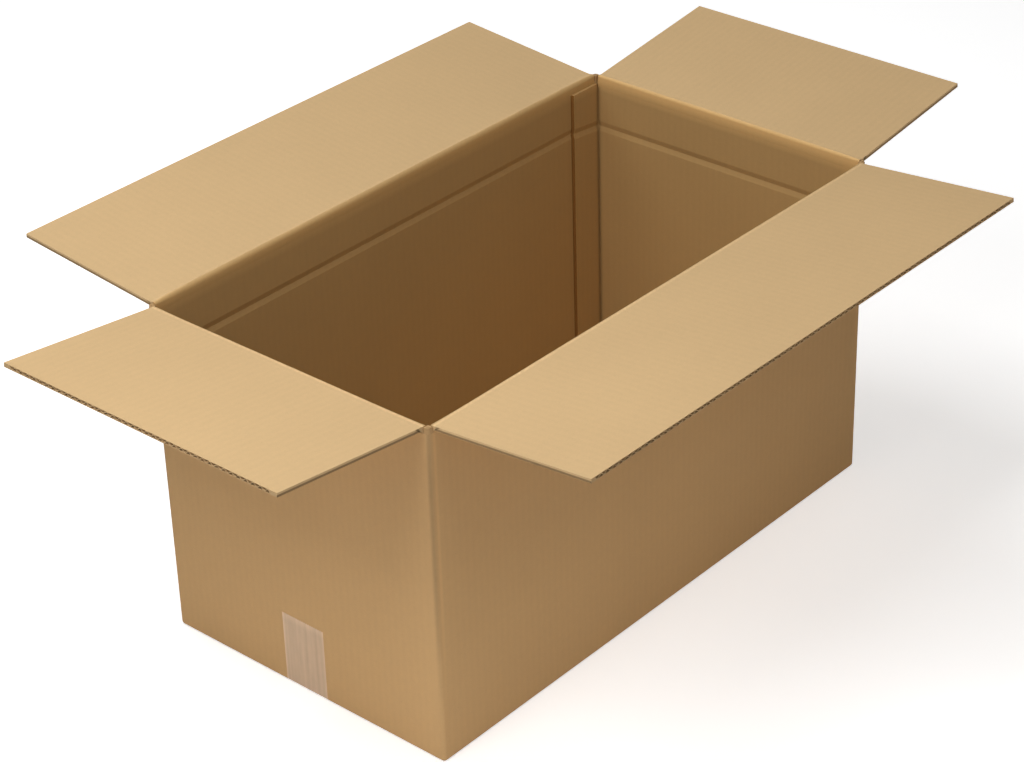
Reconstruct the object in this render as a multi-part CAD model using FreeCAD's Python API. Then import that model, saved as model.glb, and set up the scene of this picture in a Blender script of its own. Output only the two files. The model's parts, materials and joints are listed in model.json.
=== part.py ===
import FreeCAD, Part
import math
import os

# An open shipping box folded from one sheet of single-wall corrugated board.
# The glued tab and the taped bottom hold it up, and its four top flaps stand open.
# X runs along the long walls, Y across them and Z up. The origin is the middle of the base.

# Driving dimensions of the carton, in millimetres
INSIDE_LENGTH = 600.0
INSIDE_WIDTH = 320.0
INSIDE_HEIGHT = 315.0
BOARD = 4.0
CORNER_RADIUS = 4.0
CORNER_CREASE = 1.4
BASE_EDGE_RADIUS = 3.0

# The flaps: gaps where they meet, cut-back at their ends, and how they stand
MEETING_GAP = 1.0
SLOT_INSET = 6.0
LONG_FLAP_ANGLE = 5.2
END_FLAP_ANGLE = 6.8

# Running clearance at each fold, between stacked flaps and beside the tab
FOLD_GAP = 0.3

# The corrugated medium between the two liners
FLUTE_PITCH = 7.9
LINER = 0.6
MEDIUM = 0.7
FLUTE_CROWN = 1.7
CRUSHED_BAND = 13.0
FLUTE_MARGIN = 2.5

# The glued tab that joins the ends of the sheet, and the score for a lower lid line
TAB_WIDTH = 38.0
TAB_THICKNESS = 3.0
SCORE_DROP = 46.5
SCORE_WIDTH = 11.0
SCORE_DEPTH = 1.2

# The tape over the bottom seam, pressed flush into the board
TAPE_WIDTH = 50.0
TAPE_RISE = 75.0
TAPE_THICKNESS = 0.1

# How far a cutting shape runs past the board that it cuts
CUT_PAST = 1.0

# Values that follow from the driving dimensions
HALF_LENGTH = INSIDE_LENGTH / 2 + BOARD
HALF_WIDTH = INSIDE_WIDTH / 2 + BOARD
FLOOR = 2 * BOARD
LID_STACK = 2 * BOARD + FOLD_GAP
RIM = FLOOR + INSIDE_HEIGHT + LID_STACK
END_FLAP_RISE = (BOARD + FOLD_GAP) / 2
END_FOLD_HEIGHT = RIM - END_FLAP_RISE
END_FLAP_TOE = SLOT_INSET - FOLD_GAP
FLAP_REACH = HALF_WIDTH - MEETING_GAP / 2
TAB_SIDE_INSET = max(SLOT_INSET, BOARD + TAB_THICKNESS + FOLD_GAP)
MITRE_SHIFT = FOLD_GAP * math.sqrt(2)


def block(low, high):
    """A rectangular solid between two corners."""
    size = [b - a for a, b in zip(low, high)]
    return Part.makeBox(size[0], size[1], size[2], FreeCAD.Vector(*low))


def polygon(points):
    """A closed wire through the points."""
    vectors = [FreeCAD.Vector(*point) for point in points]
    return Part.makePolygon(vectors + vectors[:1])


def fold_bar(outline, low_end, high_end):
    """A bar along a fold: the outline is (out, up) from the fold axis, its length runs along Y."""
    wire = polygon([(out, low_end, up) for out, up in outline])
    return Part.Face(wire).extrude(FreeCAD.Vector(0, high_end - low_end, 0))


def stand_at_wall(shape, turn, distance, height):
    """Turn a shape drawn at the +X wall to the wall that faces turn degrees, and set it on its fold."""
    shape.rotate(FreeCAD.Vector(0, 0, 0), FreeCAD.Vector(0, 0, 1), turn)
    shape.translate(FreeCAD.Vector(0, 0, height))
    along = math.radians(turn)
    shape.translate(FreeCAD.Vector(distance * math.cos(along), distance * math.sin(along), 0))
    return shape


def flute_hole(middle, wide_level, narrow_level, out):
    """One opening of the corrugated edge: wide against a liner, narrow where the medium turns."""
    wide = FLUTE_PITCH / 2 - MEDIUM - FLUTE_CROWN / 4
    narrow = FLUTE_CROWN / 2
    return polygon([
        (out, middle - wide, wide_level),
        (out, middle + wide, wide_level),
        (out, middle + narrow, narrow_level),
        (out, middle - narrow, narrow_level),
    ])


def fluted_board(low_end, high_end, bottom, start, end):
    """Board with its flutes open at the far edge: two liners and the waved medium between them."""
    top = bottom + BOARD
    holes = []
    room = high_end - low_end - 2 * FLUTE_MARGIN
    count = int(room / FLUTE_PITCH - 0.5)
    first = (low_end + high_end) / 2 - count * FLUTE_PITCH / 2
    for index in range(count):
        upper = first + (index + 0.25) * FLUTE_PITCH
        lower = upper + FLUTE_PITCH / 2
        holes.append(flute_hole(upper, top - LINER, bottom + LINER + MEDIUM, start))
        holes.append(flute_hole(lower, bottom + LINER, top - LINER - MEDIUM, start))
    edge = polygon([
        (start, low_end, bottom),
        (start, high_end, bottom),
        (start, high_end, top),
        (start, low_end, top),
    ])
    section = Part.makeFace([edge] + holes, "Part::FaceMakerBullseye")
    return section.extrude(FreeCAD.Vector(end - start, 0, 0))


def top_flap(low_end, high_end, rise, angle):
    """One top flap, mitred at its fold so that it swings from hanging outside to lying shut.

    rise is how far its outer face stands off the fold axis: the end flaps then lie
    one board lower than the long ones when the box is shut, and level with them when open.
    """
    top = rise + BOARD
    root = [(MITRE_SHIFT, 0), (MITRE_SHIFT + top, top), (CRUSHED_BAND, top), (CRUSHED_BAND, rise)]
    if rise > 0:
        root.append((END_FLAP_TOE, rise))
    creased = fold_bar(root, low_end, high_end)
    fluted = fluted_board(low_end, high_end, rise, CRUSHED_BAND, FLAP_REACH)
    flap = creased.fuse(fluted).removeSplitter()
    flap.rotate(FreeCAD.Vector(0, 0, 0), FreeCAD.Vector(0, 1, 0), -angle)
    return flap


def folded_walls():
    """The four walls as one ring, rounded at the folds between them and round the base."""
    ring = block((-HALF_LENGTH, -HALF_WIDTH, 0), (HALF_LENGTH, HALF_WIDTH, RIM))
    upright = [edge for edge in ring.Edges if edge.BoundBox.ZLength > RIM / 2]
    ring = ring.makeFillet(CORNER_RADIUS, upright)
    base = [edge for edge in ring.Edges if edge.BoundBox.ZMax < BASE_EDGE_RADIUS / 2]
    ring = ring.makeFillet(BASE_EDGE_RADIUS, base)
    hollow = block(
        (-HALF_LENGTH + BOARD, -HALF_WIDTH + BOARD, -CUT_PAST),
        (HALF_LENGTH - BOARD, HALF_WIDTH - BOARD, RIM + CUT_PAST),
    )
    return ring.cut(hollow)


def fold_cut(low_end, high_end, fold_height):
    """What a mitred fold takes off the top of a wall, with its running gap at both ends."""
    up = RIM - fold_height + CUT_PAST
    outline = [
        (CUT_PAST, 0),
        (0, 0),
        (-BOARD, -BOARD),
        (-BOARD - CUT_PAST, -BOARD),
        (-BOARD - CUT_PAST, up),
        (CUT_PAST, up),
    ]
    return fold_bar(outline, low_end - FOLD_GAP, high_end + FOLD_GAP)


def slot_cuts():
    """The slots between neighbouring top flaps, which end level with the end folds."""
    cuts = []
    for side_x in (-1, 1):
        for side_y in (-1, 1):
            reach_x = sorted([side_x * (HALF_LENGTH - SLOT_INSET), side_x * (HALF_LENGTH + CUT_PAST)])
            reach_y = sorted([side_y * (HALF_WIDTH - SLOT_INSET), side_y * (HALF_WIDTH + CUT_PAST)])
            low = (reach_x[0], reach_y[0], END_FOLD_HEIGHT)
            high = (reach_x[1], reach_y[1], RIM + CUT_PAST)
            cuts.append(block(low, high))
    return cuts


def bottom_flaps():
    """The shut bottom: long flaps outside that meet at the seam, end flaps on top of them."""
    flaps = []
    for side in (-1, 1):
        across = sorted([side * MEETING_GAP / 2, side * (HALF_WIDTH - BOARD)])
        flaps.append(block(
            (-HALF_LENGTH + SLOT_INSET, across[0], 0),
            (HALF_LENGTH - SLOT_INSET, across[1], BOARD),
        ))
        along = sorted([side * (HALF_LENGTH - FLAP_REACH), side * (HALF_LENGTH - BOARD)])
        flaps.append(block(
            (along[0], -HALF_WIDTH + SLOT_INSET, BOARD),
            (along[1], HALF_WIDTH - SLOT_INSET, FLOOR),
        ))
    return flaps


def glue_tab():
    """The tab that carries on round the corner from the +X wall, glued inside the +Y wall."""
    return block(
        (HALF_LENGTH - BOARD - TAB_WIDTH, HALF_WIDTH - BOARD - TAB_THICKNESS, FLOOR + FOLD_GAP),
        (HALF_LENGTH - BOARD, HALF_WIDTH - BOARD, RIM - BOARD - FOLD_GAP),
    )


def pressed_line(start, end, outward):
    """A shallow V pressed into a face from one point to another, lying level or slanted."""
    half = SCORE_WIDTH / 2
    ends = []
    for x, y, height in (start, end):
        ends.append(polygon([
            (x, y, height - half),
            (x + outward[0] * SCORE_DEPTH, y + outward[1] * SCORE_DEPTH, height),
            (x, y, height + half),
        ]))
    return Part.makeLoft(ends, True, True)


def score_cuts():
    """The score pressed round the inside: one board lower on the end walls, slanted over the tab."""
    x = HALF_LENGTH - BOARD
    y = HALF_WIDTH - BOARD
    tab_left = x - TAB_WIDTH
    tab_face = y - TAB_THICKNESS
    long_height = RIM - SCORE_DROP
    end_height = long_height - BOARD
    return [
        pressed_line((-x, -y, long_height), (x, -y, long_height), (0, -1)),
        pressed_line((-x, y, long_height), (tab_left, y, long_height), (0, 1)),
        pressed_line((tab_left, tab_face, long_height), (x, tab_face, end_height), (0, 1)),
        pressed_line((-x, -y, end_height), (-x, y, end_height), (-1, 0)),
        pressed_line((x, -y, end_height), (x, tab_face, end_height), (1, 0)),
    ]


def corner_creases():
    """The creases that the walls fold on, crushed into the inside of each upright corner."""
    x = HALF_LENGTH - BOARD
    y = HALF_WIDTH - BOARD
    creases = []
    for corner_x, corner_y in ((-x, -y), (-x, y), (x, -y), (x, y - TAB_THICKNESS)):
        outline = polygon([
            (corner_x - CORNER_CREASE, corner_y, FLOOR),
            (corner_x, corner_y - CORNER_CREASE, FLOOR),
            (corner_x + CORNER_CREASE, corner_y, FLOOR),
            (corner_x, corner_y + CORNER_CREASE, FLOOR),
        ])
        creases.append(Part.Face(outline).extrude(FreeCAD.Vector(0, 0, RIM - FLOOR)))
    return creases


def tape_line(inset):
    """One side of the tape in section, from the -X wall under the base and up the +X wall."""
    x = HALF_LENGTH - inset
    radius = BASE_EDGE_RADIUS - inset
    side = x - radius
    bend = radius * math.sqrt(0.5)
    level = inset + radius
    points = {
        "left_top": FreeCAD.Vector(-x, 0, TAPE_RISE),
        "left_turn": FreeCAD.Vector(-x, 0, level),
        "left_bend": FreeCAD.Vector(-side - bend, 0, level - bend),
        "left_foot": FreeCAD.Vector(-side, 0, inset),
        "right_foot": FreeCAD.Vector(side, 0, inset),
        "right_bend": FreeCAD.Vector(side + bend, 0, level - bend),
        "right_turn": FreeCAD.Vector(x, 0, level),
        "right_top": FreeCAD.Vector(x, 0, TAPE_RISE),
    }
    edges = [
        Part.LineSegment(points["left_top"], points["left_turn"]).toShape(),
        Part.Arc(points["left_turn"], points["left_bend"], points["left_foot"]).toShape(),
        Part.LineSegment(points["left_foot"], points["right_foot"]).toShape(),
        Part.Arc(points["right_foot"], points["right_bend"], points["right_turn"]).toShape(),
        Part.LineSegment(points["right_turn"], points["right_top"]).toShape(),
    ]
    return edges, points["left_top"], points["right_top"]


def packing_tape():
    """One strip of tape over the bottom seam and up both end walls."""
    outer, outer_left, outer_right = tape_line(0)
    inner, inner_left, inner_right = tape_line(TAPE_THICKNESS)
    ends = [
        Part.LineSegment(outer_left, inner_left).toShape(),
        Part.LineSegment(outer_right, inner_right).toShape(),
    ]
    section = Part.Wire(Part.__sortEdges__(outer + ends + inner))
    strip = Part.Face(section).extrude(FreeCAD.Vector(0, TAPE_WIDTH, 0))
    strip.translate(FreeCAD.Vector(0, -TAPE_WIDTH / 2, 0))
    return strip


# Each top flap: the way its wall faces, the wall's distance, its fold's height and rise,
# the flap's two ends along the fold, and how far it stands above level
LONG_END = HALF_LENGTH - SLOT_INSET
SHORT_END = HALF_WIDTH - SLOT_INSET
TAB_END = HALF_WIDTH - TAB_SIDE_INSET
TOP_FLAPS = {
    "front_flap": (270, HALF_WIDTH, RIM, 0.0, -LONG_END, LONG_END, LONG_FLAP_ANGLE),
    "back_flap": (90, HALF_WIDTH, RIM, 0.0, -LONG_END, LONG_END, LONG_FLAP_ANGLE),
    "left_end_flap": (
        180, HALF_LENGTH, END_FOLD_HEIGHT, END_FLAP_RISE, -SHORT_END, SHORT_END, END_FLAP_ANGLE),
    "right_end_flap": (
        0, HALF_LENGTH, END_FOLD_HEIGHT, END_FLAP_RISE, -SHORT_END, TAB_END, END_FLAP_ANGLE),
}


def carton_body(tape):
    """The walls, the tab and the bottom flaps, which are one folded and glued sheet."""
    body = folded_walls()
    cuts = slot_cuts()
    for turn, distance, height, rise, low_end, high_end, angle in TOP_FLAPS.values():
        cuts.append(stand_at_wall(fold_cut(low_end, high_end, height), turn, distance, height))
    body = body.cut(cuts)
    body = body.fuse(bottom_flaps() + [glue_tab()])
    body = body.cut(score_cuts() + corner_creases() + [tape])
    return body.removeSplitter()


def build_parts():
    """Every piece of the box by its name."""
    tape = packing_tape()
    pieces = {"carton_body": carton_body(tape), "packing_tape": tape}
    for name, (turn, distance, height, rise, low_end, high_end, angle) in TOP_FLAPS.items():
        flap = top_flap(low_end, high_end, rise, angle)
        pieces[name] = stand_at_wall(flap, turn, distance, height)
    return pieces


os.makedirs("parts", exist_ok=True)
for name, shape in build_parts().items():
    solids = shape.Solids
    if len(solids) != 1:
        raise ValueError(name + " is " + str(len(solids)) + " solids")
    solid = solids[0]
    if not solid.isValid():
        raise ValueError(name + " is not a valid solid")
    solid.exportStep("parts/" + name + ".step")
    box = solid.BoundBox
    print(name, "volume", round(solid.Volume), "faces", len(solid.Faces),
          "x", round(box.XMin, 2), round(box.XMax, 2), "y", round(box.YMin, 2), round(box.YMax, 2),
          "z", round(box.ZMin, 2), round(box.ZMax, 2))
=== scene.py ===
import json
import math

import bmesh
import bpy
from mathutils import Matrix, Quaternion, Vector, noise


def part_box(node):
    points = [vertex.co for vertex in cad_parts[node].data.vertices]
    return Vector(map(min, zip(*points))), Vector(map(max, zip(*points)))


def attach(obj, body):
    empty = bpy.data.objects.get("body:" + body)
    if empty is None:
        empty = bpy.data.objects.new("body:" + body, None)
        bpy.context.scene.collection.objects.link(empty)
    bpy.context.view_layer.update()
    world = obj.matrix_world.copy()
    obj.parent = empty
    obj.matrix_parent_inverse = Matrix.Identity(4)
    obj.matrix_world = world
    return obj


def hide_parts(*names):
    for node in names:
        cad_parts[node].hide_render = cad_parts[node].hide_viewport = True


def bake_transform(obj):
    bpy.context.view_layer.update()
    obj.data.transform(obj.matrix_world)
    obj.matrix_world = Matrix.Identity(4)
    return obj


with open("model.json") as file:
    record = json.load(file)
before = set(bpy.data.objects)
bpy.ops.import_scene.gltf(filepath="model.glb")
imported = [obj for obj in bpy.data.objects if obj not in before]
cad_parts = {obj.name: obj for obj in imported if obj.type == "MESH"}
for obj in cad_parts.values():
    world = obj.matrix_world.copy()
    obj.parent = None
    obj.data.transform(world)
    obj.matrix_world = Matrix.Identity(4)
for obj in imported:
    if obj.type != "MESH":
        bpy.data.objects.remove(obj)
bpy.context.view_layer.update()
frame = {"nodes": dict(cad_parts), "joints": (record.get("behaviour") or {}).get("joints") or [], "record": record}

# The board and its folds, in metres
BOARD = 0.004
FLUTE_PITCH = 0.0079
CORNER_RADIUS = 0.004
BASE_EDGE_RADIUS = 0.003
TAB_WIDTH = 0.038
TAB_THICKNESS = 0.003
SCORE_DROP = 0.0465
SCORE_WIDTH = 0.011
FLAP_RUNNING_GAP = 0.0003

# How soft the folded-back rims are: the roundover midway, its share at the corners, how far from them it is
# full, and how far down the wall and how strongly the liner under a rim is painted lighter, a painted light
RIM_ROUND = {"front_fold": 0.0034, "left_fold": 0.0034, "back_fold": 0.0052, "right_fold": 0.0038}
RIM_END_SHARE = 0.45
RIM_GROWTH = 0.045
RIM_UNEVEN = 0.06
RIM_PROUD = 0.00008
RIM_TUCK = 0.0025
RIM_STEPS = 64
RIM_GLOW_DEPTH = 0.0125
RIM_GLOW = 0.31
END_RIM_GLOW = 0.23

# The bead that the folded board raises along each rim, and the shallow dip behind it
RIM_BEAD = {"front_fold": 0.0003, "left_fold": 0.0003, "back_fold": 0.0024, "right_fold": 0.0020}
BEAD_FALL = 0.0040
DIP_DEPTH = 0.00018
DIP_STEPS = (0.0006, 0.0014, 0.0024)

# The crushed tip that stands between two flaps at each corner of the walls
TIP_WIDTH = 0.0055
TIP_RISE = 0.0034
TIP_INSET = 0.00006
TIP_SOFTNESS = 0.0009
TIP_FOOT = 0.0046
TIP_RELIEF = 0.00008

# The tape: how far it stands off the wall, its film, the saw teeth at its ends and its bend at the base
TAPE_PROUD = 0.00006
TAPE_THICKNESS = 0.00012
TAPE_TOOTH = 0.0025
TAPE_TOOTH_DEPTH = 0.0008
TAPE_BEND_STEPS = 5

# Two points closer than this are taken as one, and a point this near a face lies on it
CLOSE = 0.00001
FACE_SLACK = 0.0002

# What all board finishes share: the sheen of the liner and the depth of its relief
BOARD_SHEEN = 0.25
BOARD_RELIEF = 0.00006

# Painted light and shade in the liner's tone. Strengths are shares of the tone, places and reaches are in metres.
SCORE_SHADE = 0.05
SCORE_LIP_LIGHT = 0.02
INNER_CORNER_SHADE = 0.22
INNER_CORNER_REACH = (0.0045, 0.0010)
TAB_EDGE_LIGHT = 0.06
TAB_EDGE_REACH = 0.0012
CORNER_CREASE_HEIGHTS = (0.02, 0.20)
CORNER_BEND_SHADE = (0.04, 0.10)
CORNER_LINE_AT = 0.0003
CORNER_LINE_SHADE = 0.14
CORNER_LIGHT_OFFSET = 0.0024
CORNER_LIGHT_REACH = 0.0030
CORNER_LIGHT = 0.10
BASE_SHADE = 0.30
BASE_SHADE_HEIGHTS = (0.0030, 0.0002)

# The near rims, from the wall's inner face outwards: painted shade on the bent liner, a painted highlight line
# made uneven by the scuffs, and painted shade in the dip. Each has its place, its reach and its strength.
RIM_BEND_SHADE = (0.0015, 0.0018, 0.24)
RIM_SHINE = (0.0036, 0.0024, 0.17)
RIM_DIP_SHADE = (0.0070, 0.0016, 0.05)

# The camera, which stands where the photograph was taken from
CAMERA_AT = (-1.6595, -1.4646, 1.4886)
CAMERA_AIM = (-0.0867, -0.0606, 0.2407)
CAMERA_ROLL = math.radians(-1.782)
CAMERA_LENS = 97.635

# Colours of the two liners, the waved medium and the film of the tape
INNER_LINER = (0.650, 0.445, 0.226)
# The inner liner made darker for the inside walls and the inside of the bottom, a painted shade
INNER_WALL_SHADE = (0.505, 0.318, 0.128)
OUTER_LINER = (0.585, 0.362, 0.162)
MEDIUM_PAPER = (0.560, 0.375, 0.190)
# A dark tone for the lower part of the flaps' side cuts, a painted shade
CUT_SIDE_SHADE = (0.270, 0.168, 0.074)
# A dark tone for the tab's cut edge and the wall beside it, a painted shadow
GROOVE_SHADE = (0.270, 0.125, 0.028)
TAPE_FILM = (0.745, 0.522, 0.330)

low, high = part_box("carton_body")
HALF_LENGTH = high.x
HALF_WIDTH = high.y
RIM = max(joint["pos_m"][2] for joint in frame["joints"])
TAPE_HALF_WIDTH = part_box("packing_tape")[1].y
TAPE_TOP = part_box("packing_tape")[1].z


class Wire:
    """A socket in a material, with the sums that shader maths needs."""

    def __init__(self, finish, socket):
        self.finish = finish
        self.socket = socket

    def sum_with(self, operation, other, swapped=False):
        pair = (other, self) if swapped else (self, other)
        return self.finish.add("Math", {"operation": operation}, {0: pair[0], 1: pair[1]})

    def __add__(self, other):
        return self.sum_with("ADD", other)

    __radd__ = __add__

    def __sub__(self, other):
        return self.sum_with("SUBTRACT", other)

    def __rsub__(self, other):
        return self.sum_with("SUBTRACT", other, swapped=True)

    def __mul__(self, other):
        return self.sum_with("MULTIPLY", other)

    __rmul__ = __mul__

    def __truediv__(self, other):
        return self.sum_with("DIVIDE", other)

    def __gt__(self, other):
        return self.sum_with("GREATER_THAN", other)

    def __lt__(self, other):
        return self.sum_with("LESS_THAN", other)

    def __abs__(self):
        return self.finish.add("Math", {"operation": "ABSOLUTE"}, {0: self})

    def cosine(self):
        return self.finish.add("Math", {"operation": "COSINE"}, {0: self})

    def larger(self, other):
        return self.sum_with("MAXIMUM", other)

    def smaller(self, other):
        return self.sum_with("MINIMUM", other)

    def ramp(self, start, end, low=0.0, high=1.0):
        """Goes smoothly from low to high as this value goes from start to end."""
        inputs = {"Value": self, "From Min": start, "From Max": end, "To Min": low, "To Max": high}
        return self.finish.add("MapRange", {"interpolation_type": "SMOOTHSTEP"}, inputs)

    def near(self, middle, reach, full=0.0):
        """One where this value is at the middle or within full of it, and nothing beyond the reach."""
        return abs(self - middle).ramp(reach, full)


class Finish:
    """A material while it is put together."""

    def __init__(self, name):
        self.material = bpy.data.materials.new(name)
        self.material.use_nodes = True
        self.tree = self.material.node_tree
        self.tree.nodes.clear()
        self.shader = self.tree.nodes.new("ShaderNodeBsdfPrincipled")
        self.output = self.tree.nodes.new("ShaderNodeOutputMaterial")
        self.tree.links.new(self.shader.outputs["BSDF"], self.output.inputs["Surface"])

    def add(self, kind, settings=None, inputs=None, output=0):
        """One node: its settings first, then the values or links of its sockets."""
        node = self.tree.nodes.new("ShaderNode" + kind)
        for name, value in (settings or {}).items():
            setattr(node, name, value)
        for name, value in (inputs or {}).items():
            self.feed(node.inputs[name], value)
        return Wire(self, node.outputs[output])

    def feed(self, socket, value):
        if isinstance(value, Wire):
            self.tree.links.new(value.socket, socket)
        elif isinstance(value, tuple) and socket.type == "RGBA":
            socket.default_value = (*value[:3], 1.0)
        else:
            socket.default_value = value

    def set(self, name, value):
        self.feed(self.shader.inputs[name], value)

    def place(self):
        """Where a point is on the object, as x, y and z."""
        at = self.add("TexCoord", output="Object")
        node = self.tree.nodes.new("ShaderNodeSeparateXYZ")
        self.feed(node.inputs[0], at)
        return at, [Wire(self, socket) for socket in node.outputs]

    def speckle(self, at, stretch, scale, detail=3.0, roughness=0.55):
        """Noise over the object, drawn out along the axes by stretch."""
        drawn = self.add("Mapping", {}, {"Vector": at, "Scale": stretch})
        inputs = {"Vector": drawn, "Scale": scale, "Detail": detail, "Roughness": roughness}
        return self.add("TexNoise", {"noise_dimensions": "3D"}, inputs)

    def mix(self, amount, first, second):
        inputs = {"Factor": amount, "A": first, "B": second}
        node = self.tree.nodes.new("ShaderNodeMix")
        node.data_type = "RGBA"
        for socket in node.inputs:
            if socket.name in inputs and socket.type == ("VALUE" if socket.name == "Factor" else "RGBA"):
                self.feed(socket, inputs[socket.name])
        return Wire(self, node.outputs["Result"] if node.outputs[0].type == "RGBA" else node.outputs[2])

    def tone(self, color, level):
        """A colour made lighter or darker by a level around one."""
        gray = self.add("CombineColor", {}, {0: level, 1: level, 2: level})
        node = self.tree.nodes.new("ShaderNodeVectorMath")
        node.operation = "MULTIPLY"
        self.feed(node.inputs[0], color)
        self.feed(node.inputs[1], gray)
        return Wire(self, node.outputs[0])

    def relief(self, height, distance):
        bump = self.add("Bump", {}, {"Height": height, "Strength": 1.0, "Distance": distance})
        self.set("Normal", bump)


def paper_detail(finish, at, across):
    """What every liner shows: slow shifts of tone, short fibres, and the flutes underneath."""
    cloud = finish.speckle(at, (1.0, 1.0, 1.0), 7.0, 2.0)
    mottle = finish.speckle(at, (1.0, 1.0, 1.0), 160.0, 3.0)
    fibre = finish.speckle(at, (0.35, 0.35, 1.0), 1500.0, 2.0, 0.7)
    fleck = finish.speckle(at, (1.0, 1.0, 1.0), 900.0, 1.0)
    ribs = (across * (2 * math.pi / FLUTE_PITCH)).cosine()
    level = 1.0 + (cloud - 0.5) * 0.10 + (mottle - 0.5) * 0.07 + (fibre - 0.5) * 0.10
    level = level + fleck.ramp(0.68, 0.78) * 0.05 - fleck.ramp(0.32, 0.22) * 0.07
    level = level + ribs * 0.008
    height = ribs * 0.35 + (fibre - 0.5) * 0.35 + (mottle - 0.5) * 0.35
    rough = 0.80 + (mottle - 0.5) * 0.12 + (fibre - 0.5) * 0.10
    return level, height, rough


def board_material(finish, color, rough, height, depth=BOARD_RELIEF):
    """Feed the shader what every finish of the board has, and give back its material."""
    finish.set("Base Color", color)
    finish.set("Roughness", rough)
    finish.set("Specular IOR Level", BOARD_SHEEN)
    finish.relief(height, depth)
    return finish.material


def rim_glow(up, end_wall):
    """How much lighter the liner is painted close under a rim, a painted light, from the height over it."""
    share = ((up + RIM_GLOW_DEPTH) / RIM_GLOW_DEPTH).larger(0.0).smaller(1.0)
    return share * (RIM_GLOW + end_wall * END_RIM_GLOW)


def finish_body():
    """Kraft liner on the walls and the bottom; the inside is a darker tone of the inner liner, a painted shade."""
    finish = Finish("kraft_walls")
    at, (x, y, z) = finish.place()
    ax = abs(x)
    ay = abs(y)
    inside = (ax < HALF_LENGTH - BOARD / 2) * (ay < HALF_WIDTH - BOARD / 2) * (z > BOARD * 0.75)
    outside = 1.0 - inside
    long_wall = (ay > HALF_WIDTH - BOARD * 2).larger(z < BOARD * 1.1)
    across = x * long_wall + y * (1.0 - long_wall)
    level, height, rough = paper_detail(finish, at, across)

    wall_x = HALF_LENGTH - BOARD
    wall_y = HALF_WIDTH - BOARD
    tab_edge = wall_x - TAB_WIDTH
    on_tab = (x > tab_edge - 0.0003) * (y > wall_y - TAB_THICKNESS * 1.5)
    tab_slant = (x - tab_edge) * (BOARD / TAB_WIDTH)
    end_wall = (ax > wall_x - 0.0001) * (1.0 - on_tab)
    over_score = z - (RIM - SCORE_DROP - end_wall * BOARD - on_tab * tab_slant)
    # Painted shade in the score's groove and painted light on the lip below it
    painted_shade = over_score.near(SCORE_WIDTH * 0.25, SCORE_WIDTH * 0.35) * SCORE_SHADE
    lip = over_score.near(SCORE_WIDTH * -0.40, SCORE_WIDTH * 0.45) * SCORE_LIP_LIGHT
    # The inside walls are painted lighter close under the rims, a painted light
    level = level + (lip - painted_shade + rim_glow(z - RIM, end_wall)) * inside

    tab_corner = (x > tab_edge) * (y > 0.0)
    from_corner = (wall_x - ax).larger(wall_y - tab_corner * TAB_THICKNESS - ay)
    # Painted shade in the inside corners
    level = level - from_corner.ramp(*INNER_CORNER_REACH) * inside * INNER_CORNER_SHADE
    # Along the tab's cut edge, the cut face and a strip of wall beside it take the dark groove tone, a painted
    # shadow that also deepens the dark cut; a strip on the tab just past the cut is a painted highlight
    tab_cut = (abs(x - tab_edge) < FACE_SLACK) * on_tab
    on_back_wall = (y > wall_y - FACE_SLACK / 2) * (y < wall_y + BOARD / 4)
    shadow_beside_tab = x.near(tab_edge - TAB_EDGE_REACH / 2, TAB_EDGE_REACH) * on_back_wall
    tab_edge_shade = tab_cut.larger(shadow_beside_tab)
    tab_edge_highlight = x.near(tab_edge + TAB_EDGE_REACH, TAB_EDGE_REACH) * on_tab * (1.0 - tab_cut)
    level = level + tab_edge_highlight * TAB_EDGE_LIGHT

    # On the outside walls: painted shade over each rounded vertical corner, with a darker painted line on it and a
    # painted highlight beside it, all stronger higher up; and painted shade along the lowest three millimetres
    around = (ax - HALF_LENGTH) - (ay - HALF_WIDTH)
    creased = z.ramp(*CORNER_CREASE_HEIGHTS)
    bend_shade = CORNER_BEND_SHADE[0] + creased * CORNER_BEND_SHADE[1]
    bend = around.near(0.0, CORNER_RADIUS * 1.3, CORNER_RADIUS * 0.5) * bend_shade
    line = around.near(CORNER_LINE_AT, CORNER_RADIUS * 0.9) * creased * CORNER_LINE_SHADE
    light_at = -CORNER_RADIUS - CORNER_LIGHT_OFFSET
    lit = around.near(light_at, CORNER_LIGHT_REACH) * creased * CORNER_LIGHT
    base = z.ramp(*BASE_SHADE_HEIGHTS) * BASE_SHADE
    level = level + (lit - bend - line - base) * outside
    color = finish.mix(tab_edge_shade, finish.mix(inside, OUTER_LINER, INNER_WALL_SHADE), GROOVE_SHADE)
    return board_material(finish, finish.tone(color, level), rough, height)


def finish_flap(name, fold):
    """A top flap: its inside liner faces up, the other cut edges show the medium, and the side cuts are dark in
    their lower part, a painted shade.
    """
    finish = Finish("kraft_" + name)
    at, (x, y, z) = finish.place()
    out = x * fold.out.x + y * fold.out.y - fold.distance
    along = y * abs(fold.out.x) + x * abs(fold.out.y)
    depth = (z - fold.height) * math.cos(fold.tilt) - out * math.sin(fold.tilt) - fold.rise
    level, height, rough = paper_detail(finish, at, along)
    top = depth > BOARD - FACE_SLACK
    under = depth < FACE_SLACK
    edge = (1.0 - top) * (1.0 - under)
    from_end = (along - fold.ends[0]).smaller(fold.ends[1] - along)
    cut_side = from_end < FACE_SLACK
    liners = abs(depth - BOARD / 2).ramp(BOARD * 0.34, BOARD * 0.42)
    # On the side cuts the inner liner shows above and a painted shade below
    painted_shade = finish.mix(depth.ramp(BOARD * 0.46, BOARD * 0.62), CUT_SIDE_SHADE, INNER_LINER)
    cut = finish.mix(cut_side, finish.mix(liners, MEDIUM_PAPER, OUTER_LINER), painted_shade)
    face = finish.mix(under, INNER_LINER, OUTER_LINER)
    color = finish.mix(edge, face, cut)
    return board_material(finish, finish.tone(color, level), rough, height)


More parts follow.
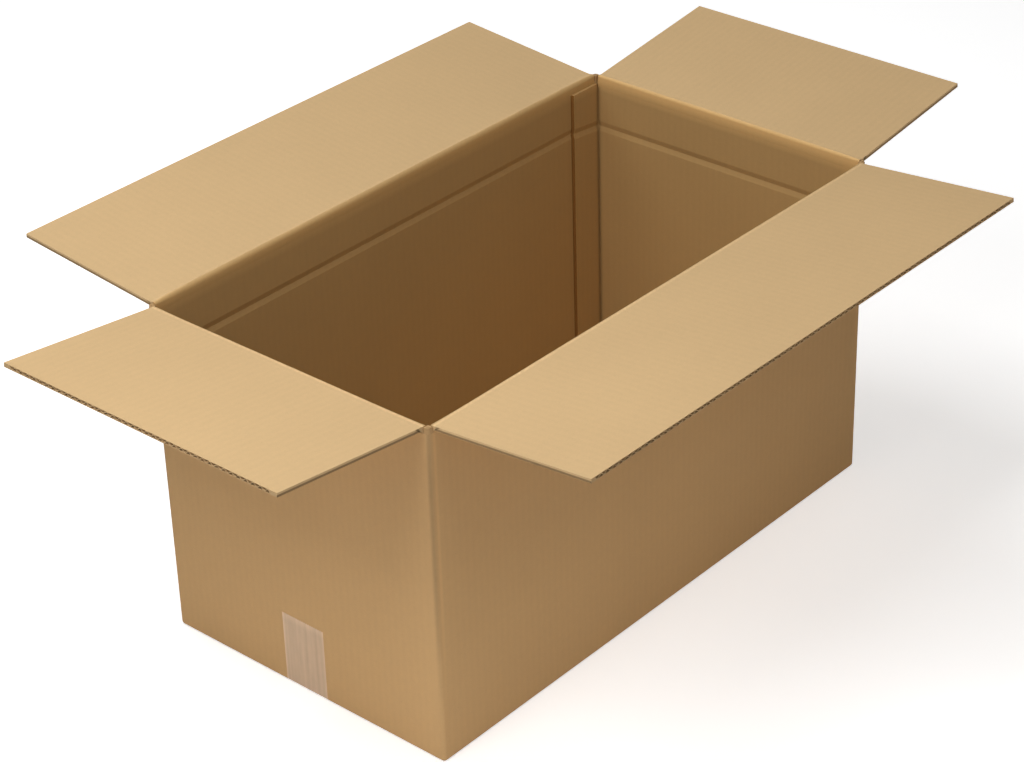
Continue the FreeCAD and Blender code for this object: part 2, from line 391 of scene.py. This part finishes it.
def finish_crease(fold):
    """The stretched liner over a folded-back rim: wall below, flap above, scuffed between, with painted light and
    shade.
    """
    finish = Finish("kraft_" + fold.node + "_crease")
    at, (x, y, z) = finish.place()
    out = x * fold.out.x + y * fold.out.y - fold.distance
    along = y * abs(fold.out.x) + x * abs(fold.out.y)
    level, height, rough = paper_detail(finish, at, along)
    scuff = finish.speckle(at, (1.0, 1.0, 1.0), 420.0, 3.0)
    edge_in = out + BOARD
    turned = edge_in.ramp(0.0, fold.round)
    worn = scuff.ramp(0.42, 0.62)
    # On the near rims: painted shade on the bent liner, a painted highlight line and painted shade in the dip
    bent_shade = edge_in.near(*RIM_BEND_SHADE[:2], FACE_SLACK) * RIM_BEND_SHADE[2]
    shine = edge_in.near(*RIM_SHINE[:2]) * (0.7 + worn * 0.5) * RIM_SHINE[2]
    dip = edge_in.near(*RIM_DIP_SHADE[:2]) * worn * RIM_DIP_SHADE[2]
    level = level + worn * turned * 0.03 + (shine - bent_shade - dip) * fold.near
    # Painted light on the wall side of the rim, close under it
    level = level + rim_glow(z - RIM, abs(fold.out.x)) * (1.0 - turned)
    color = finish.mix(turned, INNER_WALL_SHADE, INNER_LINER)
    return board_material(finish, finish.tone(color, level), rough, height + scuff * 1.5)


def finish_tip():
    """The crushed corner tips: outer liner in a darker tone, a painted shade, scuffed where the fold broke it."""
    finish = Finish("kraft_corner_tip")
    at, (x, y, z) = finish.place()
    level, height, rough = paper_detail(finish, at, x)
    scuff = finish.speckle(at, (1.0, 1.0, 1.0), 700.0, 3.0)
    # The outer liner's tone is taken 22% darker, a painted shade; the scuffs are lighter
    level = level - 0.22 + scuff.ramp(0.5, 0.7) * 0.06
    color = finish.tone(OUTER_LINER, level)
    return board_material(finish, color, rough, height + scuff * 2.0, TIP_RELIEF)


def finish_tape():
    """Clear film with a faint milky cast, and the flutes showing through it."""
    finish = Finish("tape_film")
    at, (x, y, z) = finish.place()
    half = TAPE_HALF_WIDTH
    border = abs(y).ramp(half * 0.86, half * 0.99)
    top = z.ramp(TAPE_TOP - 0.009, TAPE_TOP - 0.001)
    bubble = finish.speckle(at, (1.0, 1.0, 0.4), 90.0, 2.0)
    streak = finish.speckle(at, (1.0, 1.0, 0.03), 240.0, 1.0)
    milk = 0.72 + border * 0.16 + top * 0.10 + (bubble - 0.5) * 0.20 + (streak - 0.5) * 0.16
    level = 1.0 + border * 0.05 + top * 0.04 + (streak - 0.5) * 0.10
    finish.set("Base Color", finish.tone(TAPE_FILM, level))
    finish.set("Alpha", milk)
    finish.set("Roughness", 0.36 + (bubble - 0.5) * 0.2)
    finish.relief(bubble * 0.6 + streak * 0.4, 0.0001)
    return finish.material


def only(piece):
    """Make this the one selected object."""
    bpy.ops.object.select_all(action="DESELECT")
    piece.select_set(True)
    bpy.context.view_layer.objects.active = piece


def pick(piece, kind, wanted):
    """In edit mode, select just the vertices, edges or faces that pass the test."""
    bpy.ops.mesh.select_mode(type=kind)
    bpy.ops.mesh.select_all(action="DESELECT")
    shape = bmesh.from_edit_mesh(piece.data)
    group = {"VERT": shape.verts, "EDGE": shape.edges, "FACE": shape.faces}[kind]
    group.ensure_lookup_table()
    for part in group:
        part.select_set(wanted(part))
    shape.select_flush_mode()
    bmesh.update_edit_mesh(piece.data)


def settle(piece):
    """Put the object's place and turn into its mesh."""
    only(piece)
    bpy.ops.object.transform_apply(location=True, rotation=True, scale=True)


class Fold:
    """Where one top flap turns: its line, the way its wall faces, and its tilt at rest."""

    def __init__(self, joint):
        self.name = joint["name"]
        self.body = joint["child"]
        self.node = frame["record"]["behaviour"]["bodies"][self.body][0]
        pos = Vector(joint["pos_m"])
        self.height = joint["pos_m"][2]
        self.distance = math.hypot(pos.x, pos.y)
        self.out = Vector((pos.x, pos.y, 0.0)).normalized()
        self.tilt = math.radians(180.0 - joint["range_deg"][1])
        self.rise = RIM - self.height
        self.round = RIM_ROUND[self.name]
        self.bead = RIM_BEAD[self.name]
        self.near = 1.0 if self.out.x + self.out.y < 0 else 0.0
        self.dip_places = [self.round + step for step in DIP_STEPS]
        flap_low, flap_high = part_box(self.node)
        if abs(self.out.x) > 0.5:
            self.ends = (flap_low.y, flap_high.y)
        else:
            self.ends = (flap_low.x, flap_high.x)

    def at(self, out, up, along=0.0):
        """A point from its distances out of the wall, over the fold line and along it."""
        side = Vector((abs(self.out.y), abs(self.out.x), 0.0))
        return self.out * (self.distance + out) + side * along + Vector((0.0, 0.0, self.height + up))


def rim_size(along, ends):
    """How large the roundover is at a place along the rim, against its size midway."""
    from_end = min(along - ends[0], ends[1] - along)
    grown = min(from_end / RIM_GROWTH, 1.0)
    size = RIM_END_SHARE + (1.0 - RIM_END_SHARE) * grown * (2.0 - grown)
    return size + RIM_UNEVEN * noise.noise(Vector((along * 38.0, ends[1] * 9.0, 3.7)))


def rim_lift(edge_in, fold):
    """How far the liner stands up at a distance from the wall's inner face: a bead, then a dip."""
    last = fold.round + DIP_STEPS[1]
    fallen = min(max((edge_in - last + BEAD_FALL) / BEAD_FALL, 0.0), 1.0)
    raised = 1.0 - fallen * fallen * (3.0 - 2.0 * fallen)
    dip = DIP_DEPTH if abs(edge_in - last) < DIP_STEPS[0] else 0.0
    return fold.bead * raised - dip


def make_crease(fold, material):
    """The liner's soft roundover where a flap folds back, from the wall's face to the flap's."""
    tip = BOARD + fold.rise
    lean = math.tan(fold.tilt)
    flap_out = (tip + FLAP_RUNNING_GAP * math.sqrt(2)) * math.cos(fold.tilt) - tip * math.sin(fold.tilt)
    flap_up = (tip + FLAP_RUNNING_GAP * math.sqrt(2)) * math.sin(fold.tilt) + tip * math.cos(fold.tilt)
    corner_up = flap_up - (flap_out + BOARD) * lean
    outline = [
        (-BOARD + 0.0002, -BOARD - RIM_TUCK),
        (-BOARD - RIM_PROUD, -BOARD - 0.0003),
        (-BOARD - RIM_PROUD, corner_up + RIM_PROUD),
        *[(place - BOARD, corner_up + place * lean + RIM_PROUD) for place in fold.dip_places],
        (flap_out + 0.0003, flap_up + RIM_PROUD),
        (flap_out + RIM_TUCK, flap_up + RIM_TUCK * lean - 0.0002),
        (0.0001, 0.0),
    ]
    start, end = fold.ends
    bpy.ops.object.select_all(action="DESELECT")
    bpy.ops.mesh.primitive_circle_add(vertices=len(outline), radius=0.01, fill_type="NGON")
    piece = bpy.context.object
    piece.name = fold.node + "_crease"
    piece.data.name = piece.name
    for vertex, (out, up) in zip(piece.data.vertices, outline):
        vertex.co = fold.at(out, up, start)
    only(piece)
    bpy.ops.object.mode_set(mode="EDIT")
    bpy.ops.mesh.select_all(action="SELECT")
    run = fold.at(0, 0, end) - fold.at(0, 0, start)
    bpy.ops.mesh.extrude_region_move(TRANSFORM_OT_translate={"value": run})
    bpy.ops.mesh.select_all(action="SELECT")
    bpy.ops.mesh.normals_make_consistent(inside=False)
    direction = run.normalized()

    def lengthwise(edge):
        span = edge.verts[1].co - edge.verts[0].co
        return abs(span.normalized().dot(direction)) > 0.99

    corner = fold.at(*outline[2])

    def on_corner_line(point):
        return corner + direction * (point - corner).dot(direction)

    def at_corner(edge):
        point = edge.verts[0].co
        return lengthwise(edge) and (point - on_corner_line(point)).length < 0.0001

    pick(piece, "EDGE", at_corner)
    bpy.ops.mesh.bevel(offset=fold.round, offset_type="OFFSET", segments=7, profile=0.5, affect="EDGES")
    pick(piece, "EDGE", lengthwise)
    bpy.ops.mesh.subdivide(number_cuts=RIM_STEPS)
    bpy.ops.object.mode_set(mode="OBJECT")

    rim_axis = Vector((abs(direction.x), abs(direction.y), 0.0))
    for vertex in piece.data.vertices:
        along = vertex.co.dot(rim_axis)
        middle = on_corner_line(vertex.co)
        away = vertex.co - middle
        size = rim_size(along, fold.ends)
        if away.length < fold.round * 1.02 and away.length > 0.0001:
            vertex.co = middle + away * size
        edge_in = vertex.co.dot(fold.out) - fold.distance + BOARD
        if vertex.co.z > fold.height - fold.round / 2 and edge_in < fold.dip_places[-1]:
            vertex.co.z += rim_lift(edge_in, fold) * size
    settle(piece)
    bpy.ops.object.shade_smooth_by_angle(angle=math.radians(40))
    piece.data.materials.append(material)
    fold.at(-BOARD, -BOARD)
    fold.at(flap_out, flap_up)
    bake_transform(piece)


def make_corner_tips(material):
    """The crushed board that stands up between the flaps at the four corners of the walls."""
    foot = RIM - TIP_FOOT
    top = RIM + TIP_RISE
    bpy.ops.object.select_all(action="DESELECT")
    bpy.ops.mesh.primitive_cube_add(size=1.0)
    tip = bpy.context.object
    tip.name = "corner_tip"
    tip.data.name = tip.name
    tip.scale = (TIP_WIDTH - TIP_INSET, TIP_WIDTH - TIP_INSET, top - foot)
    settle(tip)
    half = (TIP_WIDTH - TIP_INSET) / 2
    bpy.ops.object.mode_set(mode="EDIT")
    pick(tip, "EDGE", lambda edge: all(v.co.x > 0 and v.co.y > 0 for v in edge.verts))
    bpy.ops.mesh.bevel(offset=CORNER_RADIUS - TIP_INSET, offset_type="OFFSET", segments=5, affect="EDGES")
    pick(tip, "FACE", lambda face: face.normal.z > 0.9)
    bpy.ops.mesh.inset(thickness=TIP_SOFTNESS)
    bpy.ops.transform.translate(value=(0.0, 0.0, TIP_SOFTNESS * 0.8))
    bpy.ops.mesh.inset(thickness=TIP_SOFTNESS)
    bpy.ops.transform.translate(value=(TIP_SOFTNESS * 0.3, TIP_SOFTNESS * 0.3, -TIP_SOFTNESS * 0.5))
    bpy.ops.mesh.select_all(action="SELECT")
    bpy.ops.mesh.normals_make_consistent(inside=False)
    bpy.ops.object.mode_set(mode="OBJECT")
    bpy.ops.object.shade_smooth_by_angle(angle=math.radians(50))
    tip.data.materials.append(material)
    corners = [(1, 1, 0), (-1, 1, 90), (-1, -1, 180), (1, -1, 270)]
    tips = [tip]
    for _ in corners[1:]:
        only(tip)
        bpy.ops.object.duplicate()
        tips.append(bpy.context.object)
    for piece, (side_x, side_y, turn) in zip(tips, corners):
        piece.location = (
            side_x * (HALF_LENGTH - TIP_INSET - half),
            side_y * (HALF_WIDTH - TIP_INSET - half),
            (foot + top) / 2,
        )
        piece.rotation_euler = (0.0, 0.0, math.radians(turn))
        end = "right" if side_x > 0 else "left"
        side = "back" if side_y > 0 else "front"
        piece.name = f"corner_tip_{end}_{side}"
        piece.data.name = piece.name
        settle(piece)
        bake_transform(piece)


def on_line(point, line):
    """Whether a point lies on the line across the box through another point."""
    return abs(point.x - line.x) < CLOSE and abs(point.z - line.z) < CLOSE


def make_tape(material):
    """The tape: a film under the seam and up both end walls, saw-cut at its two ends."""
    wall = HALF_LENGTH + TAPE_PROUD
    bend = BASE_EDGE_RADIUS + TAPE_PROUD
    foot = wall - bend
    bpy.ops.object.select_all(action="DESELECT")
    bpy.ops.mesh.primitive_plane_add(size=1.0)
    tape = bpy.context.object
    tape.name = "clear_tape"
    tape.data.name = tape.name
    tape.scale = (2 * foot, 2 * TAPE_HALF_WIDTH, 1.0)
    settle(tape)
    bpy.ops.object.mode_set(mode="EDIT")
    for side in (-1, 1):
        route = [Vector((side * foot, 0.0, 0.0))]
        for step in range(1, TAPE_BEND_STEPS + 1):
            turn = math.pi / 2 * step / TAPE_BEND_STEPS
            route.append(Vector((side * (foot + bend * math.sin(turn)), 0.0, bend * (1 - math.cos(turn)))))
        route.append(Vector((side * wall, 0.0, TAPE_TOP)))
        for here, there in zip(route, route[1:]):
            pick(tape, "EDGE", lambda edge: all(on_line(vertex.co, here) for vertex in edge.verts))
            bpy.ops.mesh.extrude_region_move(TRANSFORM_OT_translate={"value": there - here})
        last = route[-1]
        pick(tape, "EDGE", lambda edge: all(on_line(vertex.co, last) for vertex in edge.verts))
        teeth = round(2 * TAPE_HALF_WIDTH / TAPE_TOOTH)
        bpy.ops.mesh.subdivide(number_cuts=2 * teeth - 1)
        half_tooth = TAPE_HALF_WIDTH / teeth
        pick(tape, "VERT", lambda vertex: on_line(vertex.co, last)
             and round((vertex.co.y + TAPE_HALF_WIDTH) / half_tooth) % 2 == 1)
        bpy.ops.transform.translate(value=(0.0, 0.0, -TAPE_TOOTH_DEPTH))
    bpy.ops.object.mode_set(mode="OBJECT")
    film = tape.modifiers.new("film", "SOLIDIFY")
    film.thickness = TAPE_THICKNESS
    film.offset = 1.0
    only(tape)
    bpy.ops.object.modifier_apply(modifier=film.name)
    bpy.ops.object.mode_set(mode="EDIT")
    bpy.ops.mesh.select_all(action="SELECT")
    bpy.ops.mesh.normals_make_consistent(inside=False)
    bpy.ops.object.mode_set(mode="OBJECT")
    bpy.ops.object.shade_smooth_by_angle(angle=math.radians(30))
    tape.data.materials.append(material)
    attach(tape, "carton")
    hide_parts("packing_tape")


def light(name, at, aim, size, power, color=(1.0, 1.0, 1.0)):
    lamp = bpy.data.lights.new(name, "AREA")
    lamp.shape = "RECTANGLE"
    lamp.size, lamp.size_y = size
    lamp.energy = power
    lamp.color = color
    lamp_object = bpy.data.objects.new(name, lamp)
    bpy.context.scene.collection.objects.link(lamp_object)
    lamp_object.location = at
    lamp_object.rotation_mode = "QUATERNION"
    lamp_object.rotation_quaternion = (Vector(aim) - Vector(at)).to_track_quat("-Z", "Y")


def make_floor():
    """A plain pale floor that shows white to the camera and keeps the soft shadow."""
    bpy.ops.object.select_all(action="DESELECT")
    bpy.ops.mesh.primitive_plane_add(size=12.0, location=(0.0, 0.0, 0.0))
    floor = bpy.context.object
    floor.name = "studio_floor"
    settle(floor)
    finish = Finish("studio_floor")
    seen = finish.add("LightPath", output="Is Camera Ray").larger(
        finish.add("LightPath", output="Is Glossy Ray")).larger(
        finish.add("LightPath", output="Is Transmission Ray"))
    finish.set("Base Color", (0.88, 0.88, 0.88))
    finish.set("Roughness", 0.9)
    finish.set("Emission Color", (1.0, 1.0, 1.0))
    finish.set("Emission Strength", seen * 0.55)
    floor.data.materials.append(finish.material)


def make_world():
    world = bpy.data.worlds.new("studio")
    bpy.context.scene.world = world
    world.use_nodes = True
    tree = world.node_tree
    background = tree.nodes["Background"]
    background.inputs["Color"].default_value = (1.0, 1.0, 1.0, 1.0)
    paths = tree.nodes.new("ShaderNodeLightPath")
    seen = tree.nodes.new("ShaderNodeMath")
    seen.operation = "MAXIMUM"
    tree.links.new(paths.outputs["Is Camera Ray"], seen.inputs[0])
    tree.links.new(paths.outputs["Is Transmission Ray"], seen.inputs[1])
    strength = tree.nodes.new("ShaderNodeMapRange")
    strength.inputs["To Min"].default_value = 0.12
    strength.inputs["To Max"].default_value = 1.0
    tree.links.new(seen.outputs[0], strength.inputs["Value"])
    tree.links.new(strength.outputs[0], background.inputs["Strength"])


def make_camera():
    camera = bpy.data.cameras.new("camera")
    camera.lens = CAMERA_LENS
    camera.sensor_width = 36.0
    camera_object = bpy.data.objects.new("camera", camera)
    bpy.context.scene.collection.objects.link(camera_object)
    camera_object.location = CAMERA_AT
    aim = (Vector(CAMERA_AIM) - Vector(CAMERA_AT)).to_track_quat("-Z", "Y")
    camera_object.rotation_mode = "QUATERNION"
    camera_object.rotation_quaternion = aim @ Quaternion((0.0, 0.0, 1.0), CAMERA_ROLL)
    bpy.context.scene.camera = camera_object


body_finish = finish_body()
for slot in frame["nodes"]["carton_body"].material_slots:
    slot.material = body_finish
folds = [Fold(joint) for joint in frame["joints"]]
for fold in folds:
    flap_finish = finish_flap(fold.node, fold)
    for slot in frame["nodes"][fold.node].material_slots:
        slot.material = flap_finish
    make_crease(fold, finish_crease(fold))
make_corner_tips(finish_tip())
make_tape(finish_tape())

make_floor()
make_world()
make_camera()
light("back_lamp", (0.0, 1.50, 2.80), (0.0, 0.0, 0.2), (1.5, 1.5), 40.0)
light("left_lamp", (-2.30, 0.30, 2.00), (0.0, 0.0, 0.2), (1.5, 1.5), 3.6)
light("close_left_lamp", (-0.94, -0.09, 1.35), (0.0, 0.0, 0.2), (0.7, 0.7), 8.3)
light("over_front_lamp", (-0.30, -1.10, 1.60), (-0.05, -0.24, 0.34), (0.6, 0.6), 4.3)
light("front_right_lamp", (0.70, -1.30, 0.30), (0.15, -0.16, 0.12), (0.6, 0.6), 1.0, (1.0, 0.84, 0.66))
light("floor_corner_lamp", (-0.51, -0.36, 0.035), (-0.31, -0.17, 0.03), (0.1, 0.1), 0.185)
light("floor_front_lamp", (-0.05, -0.60, 0.04), (-0.05, -0.16, 0.04), (0.1, 0.1), 0.21)
light("floor_left_lamp", (-0.74, -0.08, 0.04), (-0.31, -0.04, 0.04), (0.1, 0.1), 0.28)
bpy.context.scene.view_settings.view_transform = "Standard"
